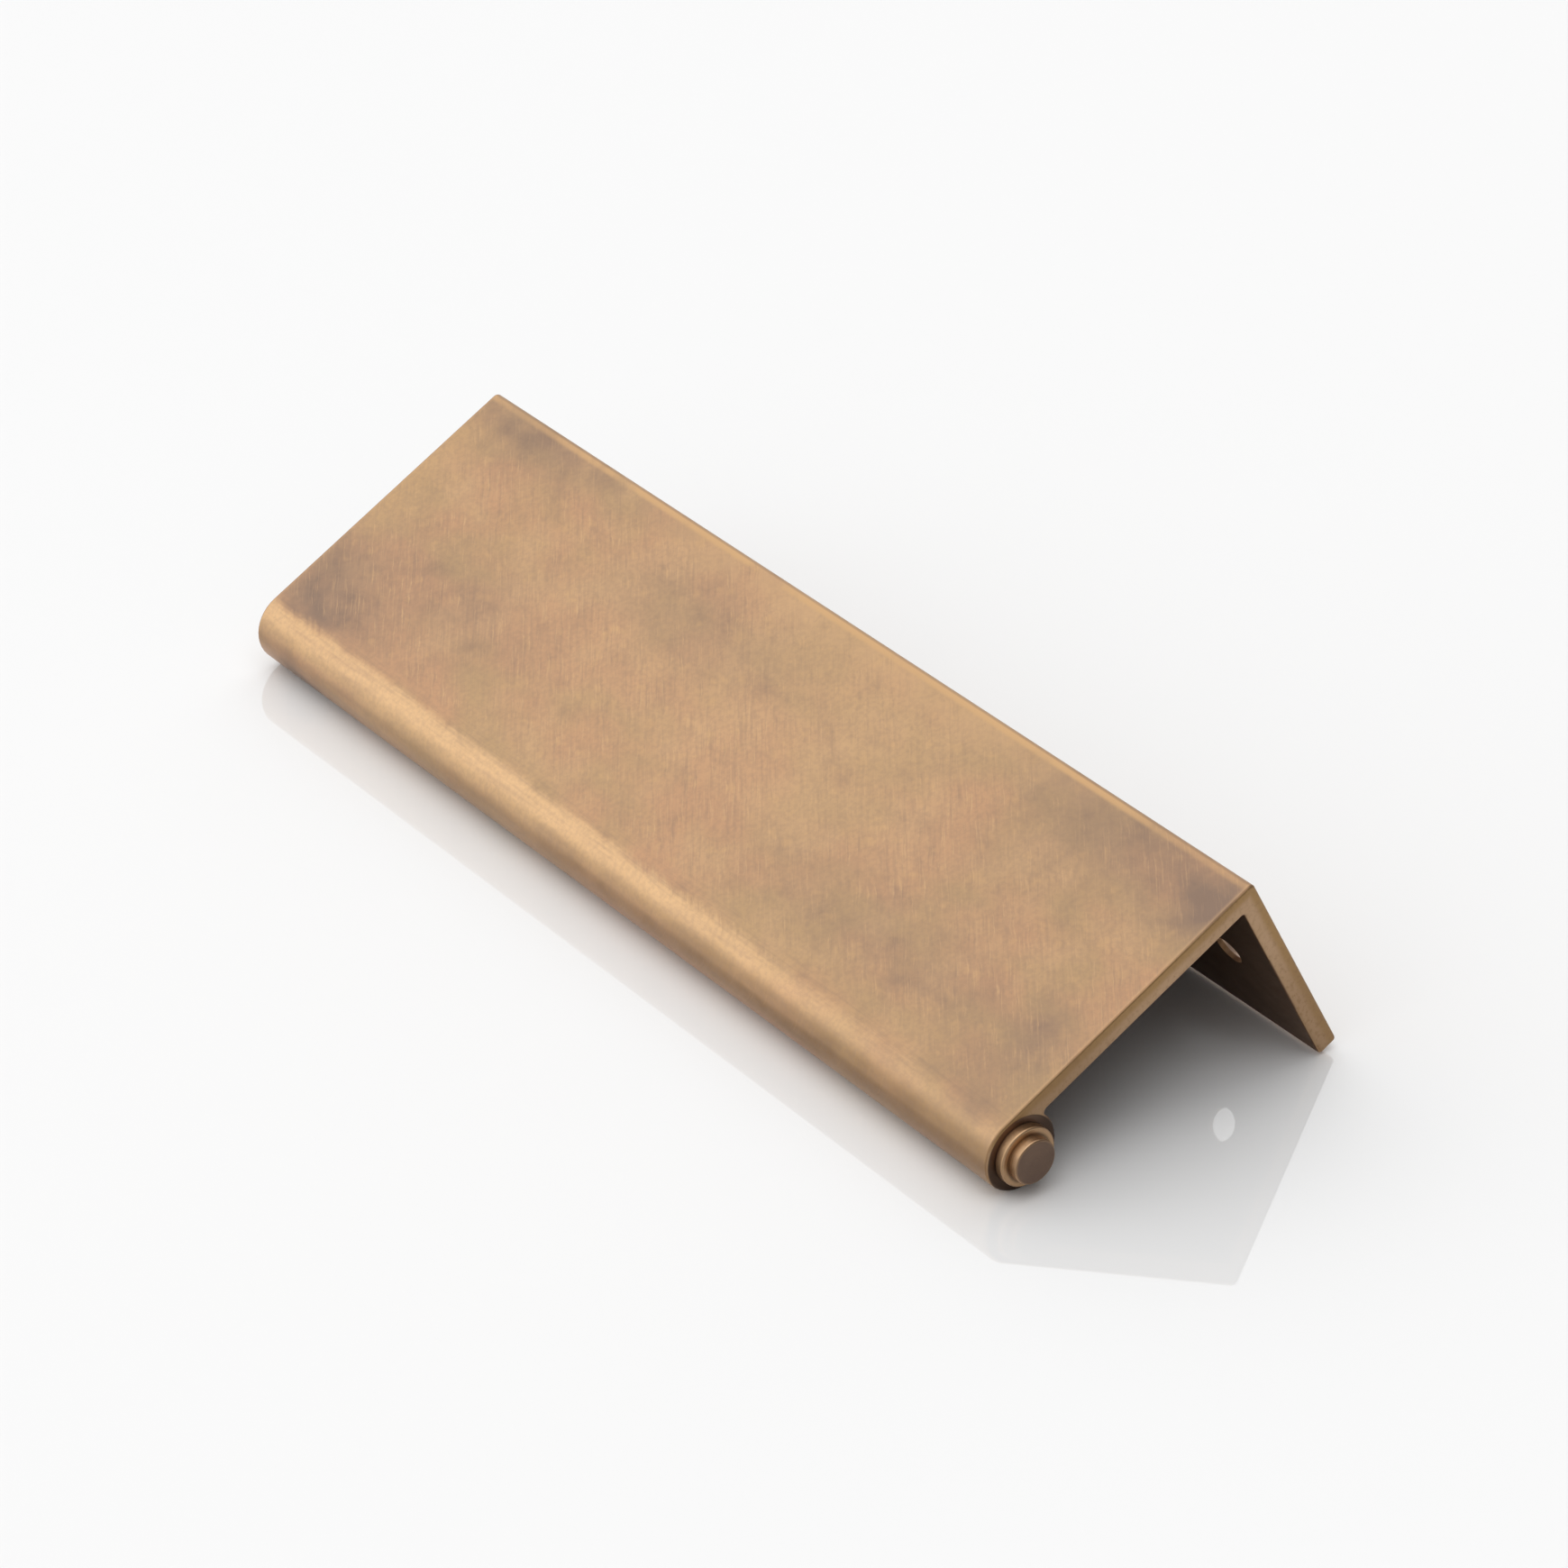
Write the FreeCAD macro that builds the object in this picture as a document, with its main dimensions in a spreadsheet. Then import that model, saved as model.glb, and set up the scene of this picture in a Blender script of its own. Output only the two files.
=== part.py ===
"""Tab pull: a brass angle with a round bead along its front edge and a turned button on one end of the bead.

The plate lies over the top edge of a drawer front, the flange hangs behind it and takes the screws,
and the bead in front is what the fingers pull. It is one piece of brass.

X runs along the pull, +Y points to the back, where the flange is, and +Z points up.
The origin lies midway between the screw holes, on the flange face that bears on the wood.
"""
import FreeCAD
import Part
import Sketcher
import math
import os

# Driving dimensions in millimetres, and one angle in degrees
SIZES = {
    "pull_length": 150.0,
    "pull_reach": 45.0,
    "flange_height": 30.0,
    "wall": 2.8,
    "bead_diameter": 10.0,
    "outer_corner_radius": 0.8,
    "inner_corner_radius": 0.4,
    "bead_blend_radius": 0.6,
    "flange_lip_radius": 0.5,
    "end_round": 0.4,
    "screw_hole_diameter": 4.0,
    "screw_hole_inset": 9.5,
    "countersink_diameter": 8.3,
    "countersink_angle": 90.0,
    "button_base_diameter": 7.6,
    "button_base_height": 1.3,
    "button_face_diameter": 5.7,
    "button_face_height": 1.3,
    "button_round": 0.25,
}
# Sizes that follow from the driving ones: heights above the screw line and depths from the wood
DERIVED_SIZES = {
    "top_height": "=(flange_height + wall) / 2",
    "underside_height": "=top_height - wall",
    "bead_radius": "=bead_diameter / 2",
    "bead_centre_depth": "=pull_reach - wall - bead_radius",
    "bead_centre_height": "=top_height - bead_radius",
    "screw_spacing": "=pull_length - 2 * screw_hole_inset",
    "button_tip": "=pull_length / 2 + button_base_height + button_face_height",
}
TOLERANCE = 1e-4


def make_sheet(doc):
    """Fills the spreadsheet: one row for each size, with its name beside it."""
    sheet = doc.addObject("Spreadsheet::Sheet", "sizes")
    rows = list(SIZES.items()) + list(DERIVED_SIZES.items())
    for row, (name, value) in enumerate(rows, start=1):
        sheet.set(f"A{row}", name)
        sheet.set(f"B{row}", str(value))
        sheet.setAlias(f"B{row}", name)
    doc.recompute()
    return sheet


def new_sketch(body, name, plane_role):
    """A sketch on one of the body's own origin planes."""
    sketch = body.newObject("Sketcher::SketchObject", name)
    plane = next(item for item in body.Origin.OriginFeatures if item.Role == plane_role)
    sketch.AttachmentSupport = [(plane, "")]
    sketch.MapMode = "FlatFace"
    return sketch


def bind(sketch, kind, *args, size):
    """Adds a dimension to a sketch and ties it to a size on the sheet."""
    place = sketch.addConstraint(Sketcher.Constraint(kind, *args, sketch.evalExpression(size)))
    sketch.setExpression(f"Constraints[{place}]", size)


def add_section(body, value):
    """The section that runs the whole length: flange, plate and bead in one outline."""
    sketch = new_sketch(body, "section", "YZ_Plane")
    bead_radius = value("bead_radius")
    bead_y = -value("bead_centre_depth")
    bead_z = value("bead_centre_height")
    rise = value("underside_height") - bead_z
    meet_angle = math.asin(rise / bead_radius)
    meet = FreeCAD.Vector(bead_y + bead_radius * math.cos(meet_angle), value("underside_height"), 0)
    corners = [
        FreeCAD.Vector(bead_y, value("top_height"), 0),
        FreeCAD.Vector(value("wall"), value("top_height"), 0),
        FreeCAD.Vector(value("wall"), value("top_height") - value("flange_height"), 0),
        FreeCAD.Vector(0, value("top_height") - value("flange_height"), 0),
        FreeCAD.Vector(0, value("underside_height"), 0),
        meet,
    ]
    lines = [
        sketch.addGeometry(Part.LineSegment(start, end), False)
        for start, end in zip(corners, corners[1:])
    ]
    top, back, lip, front, underside = lines
    circle = Part.Circle(FreeCAD.Vector(bead_y, bead_z, 0), FreeCAD.Vector(0, 0, 1), bead_radius)
    bead = sketch.addGeometry(Part.ArcOfCircle(circle, math.pi / 2, 2 * math.pi + meet_angle), False)
    for first, second in zip(lines, lines[1:]):
        sketch.addConstraint(Sketcher.Constraint("Coincident", first, 2, second, 1))
    sketch.addConstraint(Sketcher.Constraint("Coincident", underside, 2, bead, 2))
    sketch.addConstraint(Sketcher.Constraint("Tangent", bead, 1, top, 1))
    for line in (top, lip, underside):
        sketch.addConstraint(Sketcher.Constraint("Horizontal", line))
    for line in (back, front):
        sketch.addConstraint(Sketcher.Constraint("Vertical", line))
    sketch.addConstraint(Sketcher.Constraint("PointOnObject", front, 1, -2))
    bind(sketch, "Radius", bead, size="sizes.bead_radius")
    bind(sketch, "DistanceX", bead, 3, -1, 1, size="sizes.bead_centre_depth")
    bind(sketch, "DistanceX", -1, 1, back, 1, size="sizes.wall")
    bind(sketch, "DistanceY", -1, 1, top, 2, size="sizes.top_height")
    bind(sketch, "DistanceY", -1, 1, underside, 1, size="sizes.underside_height")
    bind(sketch, "DistanceY", back, 2, back, 1, size="sizes.flange_height")
    pad = body.newObject("PartDesign::Pad", "angle_and_bead")
    pad.Profile = sketch
    pad.Midplane = True
    pad.setExpression("Length", "sizes.pull_length")
    return pad


def runs_along_pull(edge, length):
    """True for a straight edge that goes from one end of the pull to the other."""
    return abs(edge.BoundBox.XLength - length) < TOLERANCE


def round_edges(body, name, size, chosen):
    """Rounds the edges of the body's present tip for which chosen(edge) holds."""
    body.Document.recompute()
    base = body.Tip
    names = [f"Edge{i}" for i, edge in enumerate(base.Shape.Edges, start=1) if chosen(edge)]
    fillet = body.newObject("PartDesign::Fillet", name)
    fillet.Base = (base, names)
    fillet.setExpression("Radius", f"sizes.{size}")
    return fillet


def round_section(body, value):
    """Eases the long edges of the section, and then the two cut ends."""
    length = value("pull_length")
    top = value("top_height")
    under = value("underside_height")
    bottom = top - value("flange_height")
    places = {
        "outer_corner": ("outer_corner_radius", [(value("wall"), top)]),
        "inner_corner": ("inner_corner_radius", [(0.0, under)]),
        "flange_lip": ("flange_lip_radius", [(0.0, bottom), (value("wall"), bottom)]),
    }
    for name, (size, spots) in places.items():
        round_edges(body, name, size, lambda edge: runs_along_pull(edge, length) and any(
            abs(edge.BoundBox.YMin - y) < TOLERANCE and abs(edge.BoundBox.ZMin - z) < TOLERANCE
            for y, z in spots))
    bead_back = value("bead_radius") - value("bead_centre_depth")
    round_edges(body, "bead_blend", "bead_blend_radius", lambda edge: (
        runs_along_pull(edge, length)
        and abs(edge.BoundBox.ZMin - under) < TOLERANCE
        and edge.BoundBox.YMin < bead_back))
    round_edges(body, "cut_ends", "end_round", lambda edge: (
        edge.BoundBox.XLength < TOLERANCE
        and abs(abs(edge.BoundBox.XMin) - length / 2) < TOLERANCE))


def add_screw_holes(body, value):
    """Two holes for countersunk wood screws, which go in from the back of the flange."""
    sketch = new_sketch(body, "screw_places", "XZ_Plane")
    sketch.setExpression("AttachmentOffset.Base.z", "-sizes.wall")
    for side in (-1, 1):
        place = FreeCAD.Vector(side * value("screw_spacing") / 2, 0, 0)
        circle = Part.Circle(place, FreeCAD.Vector(0, 0, 1), value("screw_hole_diameter") / 2)
        spot = sketch.addGeometry(circle, False)
        sketch.addConstraint(Sketcher.Constraint("PointOnObject", spot, 3, -1))
        bind(sketch, "Diameter", spot, size="sizes.screw_hole_diameter")
        from_left_to_right = (-1, 1, spot, 3) if side > 0 else (spot, 3, -1, 1)
        bind(sketch, "DistanceX", *from_left_to_right, size="sizes.screw_spacing / 2")
    body.Document.recompute()
    hole = body.newObject("PartDesign::Hole", "screw_holes")
    hole.Profile = sketch
    hole.Reversed = True
    hole.DepthType = "ThroughAll"
    hole.HoleCutType = "Countersink"
    hole.HoleCutCustomValues = True
    hole.setExpression("Diameter", "sizes.screw_hole_diameter")
    hole.setExpression("HoleCutDiameter", "sizes.countersink_diameter")
    hole.setExpression("HoleCutCountersinkAngle", "sizes.countersink_angle")
    return hole


def add_end_button(body, value):
    """The button on the bead's right-hand end: two discs, the outer one smaller, turned about the bead's axis."""
    sketch = new_sketch(body, "button_outline", "XZ_Plane")
    sketch.setExpression("AttachmentOffset.Base.y", "sizes.bead_centre_height")
    sketch.setExpression("AttachmentOffset.Base.z", "sizes.bead_centre_depth")
    end = value("pull_length") / 2
    root = end - value("button_base_height")
    step = end + value("button_base_height")
    base_radius = value("button_base_diameter") / 2
    face_radius = value("button_face_diameter") / 2
    corners = [
        FreeCAD.Vector(root, 0, 0),
        FreeCAD.Vector(value("button_tip"), 0, 0),
        FreeCAD.Vector(value("button_tip"), face_radius, 0),
        FreeCAD.Vector(step, face_radius, 0),
        FreeCAD.Vector(step, base_radius, 0),
        FreeCAD.Vector(root, base_radius, 0),
    ]
    lines = [
        sketch.addGeometry(Part.LineSegment(start, finish), False)
        for start, finish in zip(corners, corners[1:] + corners[:1])
    ]
    axis, tip, face_side, ledge, base_side, seat = lines
    for first, second in zip(lines, lines[1:] + lines[:1]):
        sketch.addConstraint(Sketcher.Constraint("Coincident", first, 2, second, 1))
    for line in (face_side, base_side):
        sketch.addConstraint(Sketcher.Constraint("Horizontal", line))
    for line in (tip, ledge, seat):
        sketch.addConstraint(Sketcher.Constraint("Vertical", line))
    sketch.addConstraint(Sketcher.Constraint("PointOnObject", axis, 1, -1))
    sketch.addConstraint(Sketcher.Constraint("PointOnObject", axis, 2, -1))
    bind(sketch, "DistanceX", -1, 1, seat, 2, size="sizes.pull_length / 2 - sizes.button_base_height")
    bind(sketch, "DistanceX", -1, 1, ledge, 1, size="sizes.pull_length / 2 + sizes.button_base_height")
    bind(sketch, "DistanceX", -1, 1, tip, 1, size="sizes.button_tip")
    bind(sketch, "DistanceY", -1, 1, tip, 2, size="sizes.button_face_diameter / 2")
    bind(sketch, "DistanceY", -1, 1, ledge, 2, size="sizes.button_base_diameter / 2")
    button = body.newObject("PartDesign::Revolution", "end_button")
    button.Profile = sketch
    button.ReferenceAxis = (sketch, ["H_Axis"])
    button.Angle = 360
    rims = [(step, base_radius), (value("button_tip"), face_radius)]
    round_edges(body, "button_rims", "button_round", lambda edge: any(
        edge.BoundBox.XLength < TOLERANCE
        and abs(edge.BoundBox.XMin - x) < TOLERANCE
        and abs(edge.BoundBox.ZLength - 2 * radius) < TOLERANCE
        for x, radius in rims))


def make_pull(doc, sheet):
    """The whole pull, as one body."""
    def value(name):
        return float(sheet.get(name))

    body = doc.addObject("PartDesign::Body", "tab_pull")
    body.Label = "tab_pull"
    add_section(body, value)
    round_section(body, value)
    plain_volume = volume_of(body)
    add_screw_holes(body, value)
    if volume_of(body) >= plain_volume:
        raise RuntimeError("the screw holes cut nothing")
    add_end_button(body, value)
    doc.recompute()
    return body


def volume_of(body):
    """The volume of the body as it stands."""
    body.Document.recompute()
    return body.Shape.Volume


def check(doc, pieces):
    """Stops if any object failed to build or a piece isn't one sound solid."""
    for item in doc.Objects:
        if "Invalid" in item.State or "Error" in item.State:
            raise RuntimeError(f"{item.Name} failed: {item.State}")
    for piece in pieces:
        if piece.Shape.isNull() or not piece.Shape.isValid() or len(piece.Shape.Solids) != 1:
            raise RuntimeError(f"{piece.Label} isn't one sound solid")


document = FreeCAD.newDocument("tab_pull")
pieces = [make_pull(document, make_sheet(document))]
check(document, pieces)
os.makedirs("parts", exist_ok=True)
for piece in pieces:
    piece.Shape.exportStep(f"parts/{piece.Label}.step")
    print(piece.Label, "volume in cubic millimetres:", round(piece.Shape.Volume, 1))
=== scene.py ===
import math
import bpy
from mathutils import Matrix, Vector


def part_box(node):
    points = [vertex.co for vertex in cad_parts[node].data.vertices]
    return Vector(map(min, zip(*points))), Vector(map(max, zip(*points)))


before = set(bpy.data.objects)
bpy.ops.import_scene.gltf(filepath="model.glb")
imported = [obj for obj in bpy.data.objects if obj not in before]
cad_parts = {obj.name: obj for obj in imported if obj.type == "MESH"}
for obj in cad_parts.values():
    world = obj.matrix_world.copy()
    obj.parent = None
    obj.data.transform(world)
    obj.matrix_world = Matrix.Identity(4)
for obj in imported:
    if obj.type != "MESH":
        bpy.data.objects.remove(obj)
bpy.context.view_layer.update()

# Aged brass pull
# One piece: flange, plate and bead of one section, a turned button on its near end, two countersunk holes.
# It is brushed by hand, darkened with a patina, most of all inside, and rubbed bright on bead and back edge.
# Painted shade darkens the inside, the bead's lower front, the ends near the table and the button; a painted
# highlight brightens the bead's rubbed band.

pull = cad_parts["tab_pull"]
low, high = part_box("tab_pull")

# Sizes and places in millimetres.
MM = 1000.0
WALL = 2.8
BEAD_RADIUS = 5.0
BUTTON_BASE_RADIUS = 3.8
BUTTON_FACE_RADIUS = 2.85
plate_top = high.z * MM
plate_back = high.y * MM
plate_end = -low.x * MM
plate_under = plate_top - WALL
flange_front = plate_back - WALL
bead_y = low.y * MM + BEAD_RADIUS
bead_z = plate_top - BEAD_RADIUS


class Socket:
    """One output of a shader node. Arithmetic on it adds Math nodes, and node() adds any other."""

    def __init__(self, tree, output=None):
        self.tree = tree
        self.output = output

    def node(self, kind, settings, sockets, output=0):
        """A node of any kind. Its settings are set first, then its sockets get their values or links."""
        made = self.tree.nodes.new(kind)
        for name, value in settings.items():
            setattr(made, name, value)
        for name, value in sockets.items():
            if isinstance(value, Socket):
                self.tree.links.new(value.output, made.inputs[name])
            else:
                made.inputs[name].default_value = value
        return Socket(self.tree, made.outputs[output] if made.outputs else None)

    def math(self, operation, *values):
        """A Math node on the given values."""
        return self.node("ShaderNodeMath", {"operation": operation}, dict(enumerate(values)))

    def __add__(self, other):
        return self.math("ADD", self, other)

    def __radd__(self, other):
        return self.math("ADD", other, self)

    def __sub__(self, other):
        return self.math("SUBTRACT", self, other)

    def __rsub__(self, other):
        return self.math("SUBTRACT", other, self)

    def __mul__(self, other):
        return self.math("MULTIPLY", self, other)

    def __rmul__(self, other):
        return self.math("MULTIPLY", other, self)

    def __truediv__(self, other):
        return self.math("DIVIDE", self, other)

    def __abs__(self):
        return self.math("ABSOLUTE", self)

    def smooth(self, start, end):
        """0 at start, 1 at end, with a soft change between them."""
        return self.node(
            "ShaderNodeMapRange",
            {"interpolation_type": "SMOOTHSTEP"},
            {"Value": self, "From Min": start, "From Max": end},
        )

    def mix(self, amount, first, second):
        """The first colour, changed to the second by amount."""
        return self.node("ShaderNodeMix", {"data_type": "RGBA"}, {0: amount, 6: first, 7: second}, 2)

    def tint(self, colour, amount):
        """This colour, changed to another by amount."""
        return self.mix(amount, self, colour)

    def split(self):
        """The three parts of a point or a direction."""
        return [self.node("ShaderNodeSeparateXYZ", {}, {"Vector": self}, axis) for axis in "XYZ"]


def open_tree(owner):
    """An empty node tree for a material or the world, as a socket to make the first nodes from."""
    owner.use_nodes = True
    owner.node_tree.nodes.clear()
    return Socket(owner.node_tree)


def noise(x, y, z, detail, roughness=0.55):
    """Fractal noise at a point given in units of the pattern, from 0 to 1."""
    point = x.node("ShaderNodeCombineXYZ", {}, {"X": x, "Y": y, "Z": z})
    return x.node(
        "ShaderNodeTexNoise",
        {"normalize": True},
        {"Vector": point, "Scale": 1.0, "Detail": detail, "Roughness": roughness},
    )


brass = bpy.data.materials.new("aged_brass")
tree = open_tree(brass)
x, y, z = [part * MM for part in tree.node("ShaderNodeTexCoord", {}, {}, "Object").split()]
facing = tree.node("ShaderNodeNewGeometry", {}, {}, "Normal").split()
facing_x = facing[0]
facing_z = facing[2]

# Patterns, with their sizes in millimetres. A number that is added, or stands alone, picks another part of
# the noise.
CLOUD_LENGTH = 20.0
CLOUD_WIDTH = 11.0
MOTTLE_LENGTH = 5.0
MOTTLE_WIDTH = 4.0
WARP_SIZE = 10.0
FLECK_LENGTH = 2.4
FLECK_WIDTH = 2.0
GRAIN_SIZE = 0.6
ELSEWHERE = 40.0
clouds = noise(x / CLOUD_LENGTH, y / CLOUD_WIDTH, z / CLOUD_WIDTH, 2.0)
mottling = noise(x / MOTTLE_LENGTH, y / MOTTLE_WIDTH, z / MOTTLE_WIDTH, 3.0, 0.6)
warp_x = noise(x / WARP_SIZE, y / WARP_SIZE, z / WARP_SIZE + ELSEWHERE, 3.0)
warp_y = noise(x / WARP_SIZE + ELSEWHERE, y / WARP_SIZE, z / WARP_SIZE, 3.0)
flecks = noise(x / FLECK_LENGTH, y / FLECK_WIDTH, z / FLECK_WIDTH + 20.0, 2.0)
grain = noise(x / GRAIN_SIZE, y / GRAIN_SIZE, z / GRAIN_SIZE, 2.0)

# Brush marks run aslant over the pull and lengthwise on the bead. One running measure follows the section
# from the bead to the flange, so that the marks cross its corners.
BRUSH_ANGLE = math.radians(139.7)
STROKE_LENGTH = 7.0
STROKE_WIDTH = 0.45
SCRATCH_LENGTH = 5.0
SCRATCH_WIDTH = 0.26
BEAD_MARK_LENGTH = 12.0
BEAD_MARK_WIDTH = 0.45
run = y - (z - plate_top)
along = x * math.cos(BRUSH_ANGLE) + run * math.sin(BRUSH_ANGLE)
across = run * math.cos(BRUSH_ANGLE) - x * math.sin(BRUSH_ANGLE)
wander = across + (flecks - 0.5) * 0.5
strokes = noise(along / STROKE_LENGTH, wander / STROKE_WIDTH, 3.0, 2.0)
scratches = noise(along / SCRATCH_LENGTH, wander / SCRATCH_WIDTH, 9.0, 1.0)
lengthwise = noise(x / BEAD_MARK_LENGTH, run / BEAD_MARK_WIDTH, 5.0, 2.0)
brushed = 0.2 + clouds.smooth(0.35, 0.65) * 0.55 + flecks.smooth(0.35, 0.65) * 0.7

# Where a point lies on the pull: distances in millimetres, then masks that are 1 there and 0 elsewhere.
to_back = plate_back - y
to_end = plate_end - abs(x)
off_axis_y = y - bead_y
off_axis_z = z - bead_z
off_axis = tree.math("SQRT", off_axis_y * off_axis_y + off_axis_z * off_axis_z)
on_top = facing_z.smooth(0.80, 0.97)
on_ends = abs(facing_x).smooth(0.5, 0.85)
in_bead = off_axis.smooth(BEAD_RADIUS + 0.6, BEAD_RADIUS + 0.05)
on_button = x.smooth(plate_end + 0.02, plate_end + 0.12)
top_shell = z.smooth(plate_under + 0.02, plate_under + 0.12)
back_shell = y.smooth(flange_front + 0.02, flange_front + 0.12)
inside = (1 - tree.math("MAXIMUM", top_shell, back_shell)) * (1 - in_bead) * (1 - on_ends)
rounded_end = abs(facing_x).smooth(0.1, 0.35) * (1 - on_ends) * (1 - on_button)

# Bare metal: tan and rose in clouds, paler in the middle of the plate, golden at the far end.
TAN_BRASS = (0.475, 0.312, 0.170, 1)
ROSE_BRASS = (0.525, 0.308, 0.178, 1)
PALE_BRASS = (0.58, 0.37, 0.206, 1)
GOLD_EDGE = (0.60, 0.375, 0.19, 1)
colour = tree.mix(clouds.smooth(0.35, 0.62), TAN_BRASS, ROSE_BRASS)
colour = colour.tint(PALE_BRASS, warp_x.smooth(0.42, 0.75) * 0.7)
colour = colour.tint(PALE_BRASS, abs(x).smooth(60.0, 10.0) * run.smooth(-30.0, -18.0) * 0.35)
colour = colour.tint(GOLD_EDGE, x.smooth(-68.0, -75.0) * run.smooth(-27.0, -20.0) * 0.4)

# Smoky patches of patina: place along the plate, place across it, half length, half width, strength.
SMOKY_PATINA = (0.27, 0.186, 0.138, 1)
SMOKE = (
    (73, -3, 7, 5.5, 0.85),
    (57, -1, 16, 4.5, 0.55),
    (52, -7, 12, 5, 0.2),
    (-63, 0, 13, 4.5, 0.55),
    (-65, -33, 9, 4, 0.5),
    (-67.5, -36.5, 5, 2.5, 0.7),
    (-71, -29, 8, 7, 0.5),
    (-50, -24, 17, 8, 0.3),
    (-17, -8, 15, 5.5, 0.34),
    (69, -27, 5, 5, 0.5),
    (45, -28, 26, 5, 0.35),
    (48, -17, 16, 8, 0.12),
    (66, -35, 6, 3.5, 0.36),
)
smoke_x = x + (warp_x - 0.5) * 14.0
smoke_y = run + (warp_y - 0.5) * 10.0
smoke = mottling.smooth(0.45, 0.90) * 0.3
for patch_x, patch_y, patch_length, patch_width, patch_strength in SMOKE:
    patch_u = (smoke_x - patch_x) / patch_length
    patch_v = (smoke_y - patch_y) / patch_width
    patch = (patch_u * patch_u + patch_v * patch_v) * -1.0
    smoke = smoke + tree.math("EXPONENT", patch) * patch_strength
smoke = smoke * (0.55 + mottling * 0.9)

# Hands rub the bead bright from its seam with the plate round to the front, and least towards its near end;
# where the bead faces up, that bright band is partly a painted highlight. The seam's edge follows the brush
# strokes. Below, the bead stays brown with patina, and painted shade darkens its lower front towards the
# table.
RUBBED_HIGHLIGHT_BRASS = (0.62, 0.40, 0.215, 1)
BROWN_PATINA_AND_SHADE = (0.27, 0.162, 0.082, 1)
ragged = 1.0 + x.smooth(0.0, 12.0) * x.smooth(40.0, 26.0) * 2.5
seam = off_axis_y + (strokes - 0.5) * ragged + (mottling - 0.5) * 2.0
rubbed_highlight = seam.smooth(0.8, -0.8) * in_bead * facing_z.smooth(0.45, 0.85) * (1 - x.smooth(10.0, 62.0) * 0.95)
low_front = facing_z.smooth(0.80, 0.45) * (0.3 + x.smooth(-50.0, 45.0) * 0.7)
mid_front = facing_z.smooth(0.97, 0.70) * x.smooth(-40.0, 40.0) * 0.6
front = tree.math("MAXIMUM", low_front, mid_front)
bead_underside_shade = in_bead * off_axis_y.smooth(0.0, -1.0) * facing_z.smooth(-0.2, 0.35) * front
colour = colour.tint(SMOKY_PATINA, smoke * (1 - rubbed_highlight))
# Painted highlight along the upper side of the bead, together with rubbed wear.
colour = colour.tint(RUBBED_HIGHLIGHT_BRASS, rubbed_highlight * (0.7 + lengthwise * 0.5))
# Painted shade on the bead's lower front, over its brown patina.
colour = colour.tint(BROWN_PATINA_AND_SHADE, bead_underside_shade * (0.55 + mottling * 0.8))

# Brush marks, dark and pale, then grain and golden flecks.
colour = colour.tint(SMOKY_PATINA, strokes.smooth(0.62, 0.25) * brushed * (0.30 - in_bead * 0.22))
colour = colour.tint(SMOKY_PATINA, lengthwise.smooth(0.60, 0.25) * (0.04 + in_bead * 0.18))
scratched = brushed * (0.62 - in_bead * 0.52 - smoke * 0.35)
colour = colour.tint(PALE_BRASS, scratches.smooth(0.52, 0.76) * scratched)
colour = colour.tint(SMOKY_PATINA, grain.smooth(0.62, 0.35) * 0.18)
colour = colour.tint(GOLD_EDGE, flecks.smooth(0.55, 0.75) * (1 - smoke) * (0.35 - in_bead * 0.32))

# Back edge: a smoky band towards the ends and a pale one in the middle, a thin golden line, a brown corner.
back_band = to_back.smooth(5.0, 1.8) * to_back.smooth(0.8, 1.5) * on_top * abs(x - 5.0).smooth(15.0, 55.0)
colour = colour.tint(SMOKY_PATINA, back_band * mottling.smooth(0.25, 0.60) * 0.4)
back_light = to_back.smooth(5.5, 2.0) * on_top * abs(x - 3.0).smooth(55.0, 20.0)
colour = colour.tint(PALE_BRASS, back_light * mottling.smooth(0.30, 0.55) * 0.5)
gold_line = to_back.smooth(1.6, 1.0) * facing_z.smooth(0.85, 0.97) * (1 - abs(x).smooth(45.0, 70.0) * 0.6)
colour = colour.tint(GOLD_EDGE, gold_line * warp_y.smooth(0.30, 0.50) * 0.9)
corner = to_back.smooth(0.75, 0.4) * facing_z.smooth(0.15, 0.45)
colour = colour.tint(BROWN_PATINA_AND_SHADE, corner * 0.55)

# Cut ends: a pale edge on top, golden next to the skin, rosier deep in the wall, and painted shade, browner
# down the flange and towards the bead, where they face the shaded table.
CUT_ROSE = (0.46, 0.302, 0.182, 1)
CUT_GOLD = (0.36, 0.22, 0.098, 1)
colour = colour.tint(PALE_BRASS, to_end.smooth(0.8, 0.3) * on_top * 0.35)
to_skin = tree.math("MINIMUM", plate_top - z, to_back)
cut = tree.mix(to_skin.smooth(0.7, 1.7) + (mottling - 0.5) * 0.9, CUT_GOLD, CUT_ROSE)
# Brown grain, and painted shade that is darker down the flange.
cut = cut.tint(BROWN_PATINA_AND_SHADE, grain.smooth(0.45, 0.75) * 0.4 + z.smooth(8.0, -4.0) * 0.45)
# Painted shade towards the bead.
cut = cut.tint(BROWN_PATINA_AND_SHADE, y.smooth(-12.0, -30.0) * 0.4)
colour = colour.tint(cut, on_ends)

# Screw holes: greyish countersinks, and brown bores between them and the flange's inner face, darkened
# partly with painted shade.
INNER_BROWN_AND_SHADE = (0.155, 0.087, 0.05, 1)
HOLE_REACH = 5.0
COUNTERSINK_START = 0.65
hole = back_shell * y.smooth(plate_back - 0.05, plate_back - 0.15)
hole = hole * abs(z).smooth(HOLE_REACH, HOLE_REACH - 0.4) * (1 - on_ends)
bore_end = flange_front + COUNTERSINK_START
colour = colour.tint(SMOKY_PATINA, hole)
# Painted shade in the bores.
colour = colour.tint(INNER_BROWN_AND_SHADE, hole * y.smooth(bore_end, bore_end - 0.15))
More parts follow.
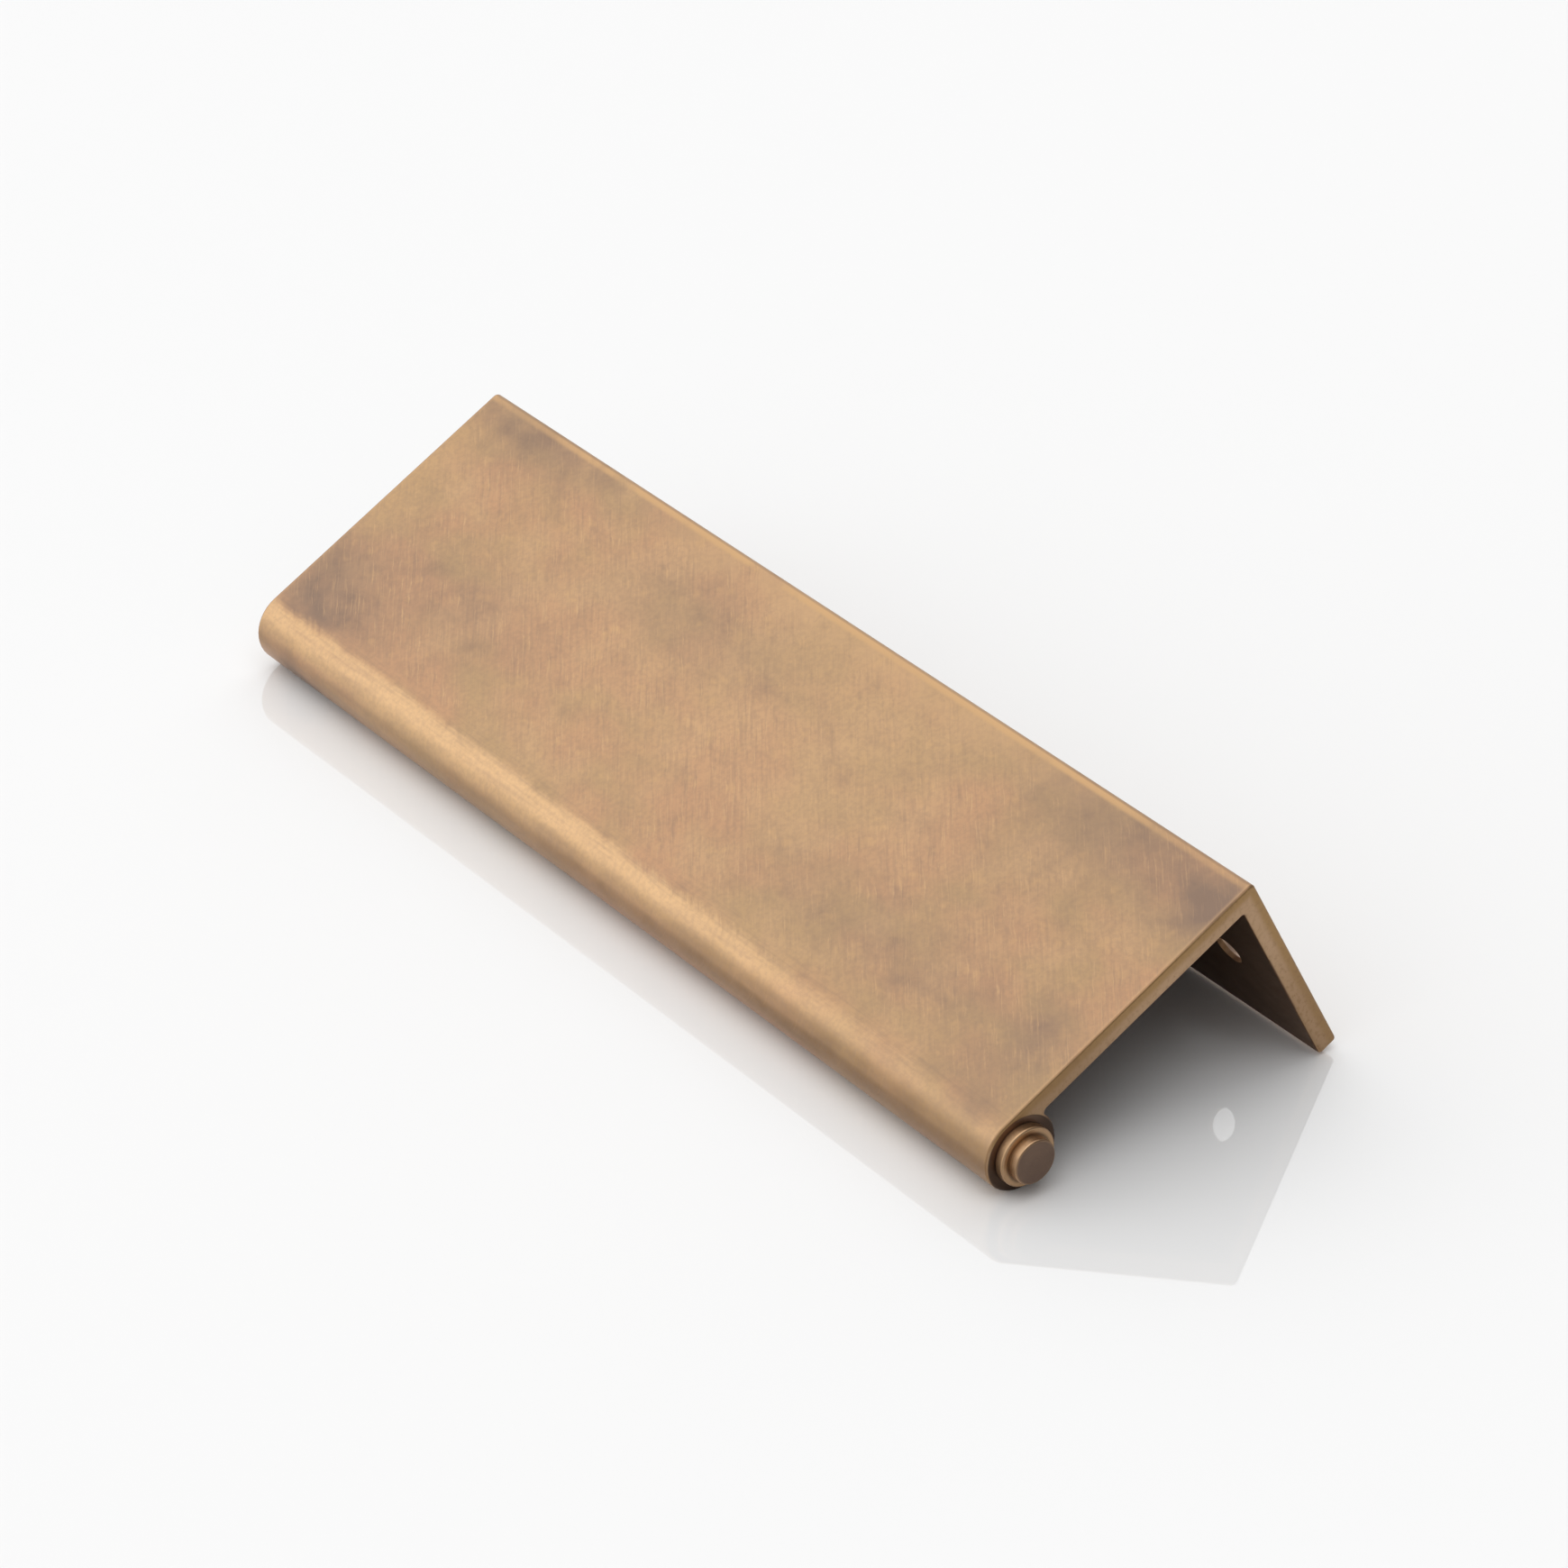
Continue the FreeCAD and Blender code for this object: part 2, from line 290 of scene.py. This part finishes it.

# Button: turned rings on its sides, a dark face that is partly bronze and partly painted shade, and painted
# shade in the step and in the ring round its base, lighter towards the ring's top.
DARK_BRONZE_AND_SHADE = (0.14, 0.093, 0.072, 1)
PAINTED_SHADE_BROWN = (0.07, 0.043, 0.029, 1)
RING_BROWN = (0.20, 0.125, 0.085, 1)
TURNING_PITCH = 0.13
turning = noise(x / TURNING_PITCH, off_axis / TURNING_PITCH, z / 9.0, 1.0)
colour = colour.tint(PALE_BRASS, on_button * turning.smooth(0.40, 0.60) * 0.5)
button_face = on_ends * on_button * off_axis.smooth(BUTTON_FACE_RADIUS, BUTTON_FACE_RADIUS - 0.3)
# Painted shade on the face, over its dark bronze.
colour = colour.tint(DARK_BRONZE_AND_SHADE, button_face * (0.75 + mottling * 0.3))
# Painted shade in the step round the face's foot.
foot = off_axis.smooth(BUTTON_FACE_RADIUS + 0.45, BUTTON_FACE_RADIUS + 0.15)
foot = foot * (1 - button_face) * on_ends * on_button
colour = colour.tint(PAINTED_SHADE_BROWN, foot * 0.6)
# Painted shade in the ring round the base, paler towards its top.
ring_rim = off_axis + off_axis_z * 0.06
ring = ring_rim.smooth(BEAD_RADIUS - 0.02, BEAD_RADIUS - 0.2)
ring = ring * off_axis.smooth(BUTTON_BASE_RADIUS - 0.15, BUTTON_BASE_RADIUS)
ring = ring * x.smooth(plate_end - 0.45, plate_end - 0.25) * (1 - x.smooth(plate_end, plate_end + 0.25))
ring_light = off_axis_z.smooth(0.5, 4.5) * off_axis.smooth(BEAD_RADIUS - 0.25, BEAD_RADIUS - 0.5) * 0.8
colour = colour.tint(tree.mix(ring_light, PAINTED_SHADE_BROWN, RING_BROWN), ring)

# The inside is a darker brown and duller, partly patina and partly painted shade. The rounded edges of the
# ends are a little duller, and their upper parts get painted shade over their highlight.
# Painted shade over the inside's brown patina.
colour = colour.tint(INNER_BROWN_AND_SHADE, inside * (0.8 + mottling * 0.35))
# Painted shade on the upper rounded edges of the ends, dimming their highlight.
colour = colour.tint(BROWN_PATINA_AND_SHADE, rounded_end * facing_z.smooth(0.5, 0.8) * 0.35)

BRASS_ROUGHNESS = 0.38
BRUSH_DEPTH = 0.00001
BRUSH_STRENGTH = 0.5
roughness = BRASS_ROUGHNESS + (mottling - 0.5) * 0.12 + (strokes - 0.5) * 0.08
roughness = roughness + smoke * 0.08 - rubbed_highlight * 0.05 + inside * 0.1 + rounded_end * 0.2
height = strokes + scratches * 0.4 + lengthwise * (0.08 + in_bead * 0.3) + grain * 0.15
relief = tree.node(
    "ShaderNodeBump",
    {},
    {"Strength": BRUSH_STRENGTH, "Distance": BRUSH_DEPTH, "Height": height},
)
metal = tree.node(
    "ShaderNodeBsdfPrincipled",
    {},
    {
        "Base Color": colour,
        "Metallic": 1.0,
        "Roughness": roughness,
        "Specular IOR Level": 0.0,
        "Normal": relief,
    },
)
tree.node("ShaderNodeOutputMaterial", {}, {"Surface": metal})
pull.data.materials.clear()
pull.data.materials.append(brass)

# Glossy white table top
# A smooth white board that mirrors faintly and is clear from below. The pull lies on it tipped forward, on
# its bead, with the flange's edge a hair above it, so in the pull's own frame the board leans.

TABLE_SIZE = 6.0
TABLE_WHITE = (0.86, 0.86, 0.86, 1)
TABLE_ROUGHNESS = 0.03
TABLE_IOR = 1.75
FLANGE_GAP = 0.0003
STEEPEST = math.radians(60)
SEARCH_STEPS = 40


def lowest(points, up):
    """How far down the points reach along a direction."""
    return min(point.dot(up) for point in points)


# The tilt at which bead and flange lie on the board is found by halving.
pull_points = [vertex.co for vertex in pull.data.vertices]
middle_y = (low.y + high.y) / 2
bead_points = [point for point in pull_points if point.y < middle_y]
flange_points = [point for point in pull_points if point.y >= middle_y]
level, steep = 0.0, STEEPEST
for step in range(SEARCH_STEPS):
    tilt = (level + steep) / 2
    up = Vector((0, math.sin(tilt), math.cos(tilt)))
    if lowest(flange_points, up) - FLANGE_GAP < lowest(bead_points, up):
        level = tilt
    else:
        steep = tilt

side = TABLE_SIZE / 2
table_corners = [(-side, -side, 0), (side, -side, 0), (side, side, 0), (-side, side, 0)]
table_mesh = bpy.data.meshes.new("table_top")
table_mesh.from_pydata(table_corners, [], [(0, 1, 2, 3)])
table = bpy.data.objects.new("table_top", table_mesh)
bpy.context.scene.collection.objects.link(table)
table.matrix_world = Matrix.Translation(up * lowest(pull_points, up)) @ Matrix.Rotation(-tilt, 4, "X")

white = bpy.data.materials.new("white_table")
tree = open_tree(white)
board = tree.node(
    "ShaderNodeBsdfPrincipled",
    {},
    {"Base Color": TABLE_WHITE, "Roughness": TABLE_ROUGHNESS, "IOR": TABLE_IOR},
)
clear = tree.node("ShaderNodeBsdfTransparent", {}, {})
from_below = tree.node("ShaderNodeNewGeometry", {}, {}, "Backfacing")
surface = tree.node("ShaderNodeMixShader", {}, {0: from_below, 1: board, 2: clear})
tree.node("ShaderNodeOutputMaterial", {}, {"Surface": surface})
table_mesh.materials.append(white)

# Studio light
# The room is bright on the left and beyond the far end, and dimmer in front and on the right. A soft box on
# the left puts the bright band along the bead, and a large one overhead lights the table.

LEFT_SIDE = Vector((-0.65, -0.5, 0.57)).normalized()
LEFT_BRIGHT = 0.95
FAR_SIDE = Vector((-0.685, 0.691, 0.231))
FAR_BRIGHT = 1.25
RIGHT_SIDE = Vector((0.93, 0.1, 0.35)).normalized()
RIGHT_BRIGHT = 0.18
FRONT_SIDE = Vector((0.40, -0.70, 0.62)).normalized()
FRONT_BRIGHT = 0.30
ROOM_DIM = 0.03
SURROUND_TOP = 0.2
SURROUND_EDGE = 0.12
room = bpy.data.worlds.new("white_room")
tree = open_tree(room)
way = tree.node("ShaderNodeTexCoord", {}, {}, "Generated")


def toward(wall):
    """How far the way of looking points to a wall: 1 straight at it, 0 square to it."""
    return way.node("ShaderNodeVectorMath", {"operation": "DOT_PRODUCT"}, {0: way, 1: wall}, "Value")


left_wall = toward(LEFT_SIDE).smooth(-0.1, 0.7) * LEFT_BRIGHT
far_wall = toward(FAR_SIDE).smooth(0.45, 0.93) * FAR_BRIGHT
right_wall = toward(RIGHT_SIDE).smooth(0.2, 0.8) * RIGHT_BRIGHT
front_wall = toward(FRONT_SIDE).smooth(0.4, 0.9) * FRONT_BRIGHT
strength = ROOM_DIM + tree.math("MAXIMUM", left_wall, far_wall) + right_wall + front_wall

# The camera sees white all round. What mirrors sees that white low down, round the table.
by_camera = tree.node("ShaderNodeLightPath", {}, {}, "Is Camera Ray")
by_metal = tree.node("ShaderNodeLightPath", {}, {}, "Is Glossy Ray")
by_glass = tree.node("ShaderNodeLightPath", {}, {}, "Is Transmission Ray")
surround = toward(up).smooth(SURROUND_TOP, SURROUND_TOP - SURROUND_EDGE)
mirrored = tree.math("MAXIMUM", by_metal, by_glass) * surround
seen = tree.math("MAXIMUM", by_camera, mirrored)
strength = strength * (1 - seen) + seen
glow = tree.node("ShaderNodeBackground", {}, {"Color": (1, 1, 1, 1), "Strength": strength})
tree.node("ShaderNodeOutputWorld", {}, {"Surface": glow})
bpy.context.scene.world = room

# Name, power in watts, length, width, distance, direction from the pull.
SOFT_BOXES = (
    ("left_soft_box", 2.4, 1.6, 0.9, 1.6, Vector((-0.685, -0.33, 0.65))),
    ("overhead_soft_box", 10.7, 1.5, 1.5, 1.8, Vector((0.25, 0.35, 0.90))),
)
for name, power, length, width, distance, direction in SOFT_BOXES:
    lamp_data = bpy.data.lights.new(name, "AREA")
    lamp_data.shape = "RECTANGLE"
    lamp_data.size = length
    lamp_data.size_y = width
    lamp_data.energy = power
    lamp = bpy.data.objects.new(name, lamp_data)
    bpy.context.scene.collection.objects.link(lamp)
    direction = direction.normalized()
    lamp_x = Vector((0, 0, 1)).cross(direction).normalized()
    turn = Matrix((lamp_x, direction.cross(lamp_x), direction)).transposed()
    lamp.matrix_world = Matrix.Translation(direction * distance) @ turn.to_4x4()

# Camera
# A long lens looks down on the near end from the right. Its place, aim and lens were fitted to the edges of
# the pull in the photo, together with the pull's proportions.

CAMERA_PLACE = Vector((0.52096, -0.17703, 0.53372))
CAMERA_AIM = Vector((0.01236, -0.01898, 0.0164))
CAMERA_UP = Vector((-0.41313, 0.67426, 0.61212))
LENS_PIXELS = 6929.1
PHOTO_PIXELS = 1740
SENSOR = 36.0
camera_data = bpy.data.cameras.new("camera")
camera_data.sensor_width = SENSOR
camera_data.sensor_fit = "HORIZONTAL"
camera_data.lens = SENSOR * LENS_PIXELS / PHOTO_PIXELS
camera = bpy.data.objects.new("camera", camera_data)
bpy.context.scene.collection.objects.link(camera)
back = (CAMERA_PLACE - CAMERA_AIM).normalized()
right = CAMERA_UP.cross(back).normalized()
upright = Matrix((right, back.cross(right), back)).transposed()
camera.matrix_world = Matrix.Translation(CAMERA_PLACE) @ upright.to_4x4()
bpy.context.scene.camera = camera
bpy.context.scene.view_settings.view_transform = "Standard"
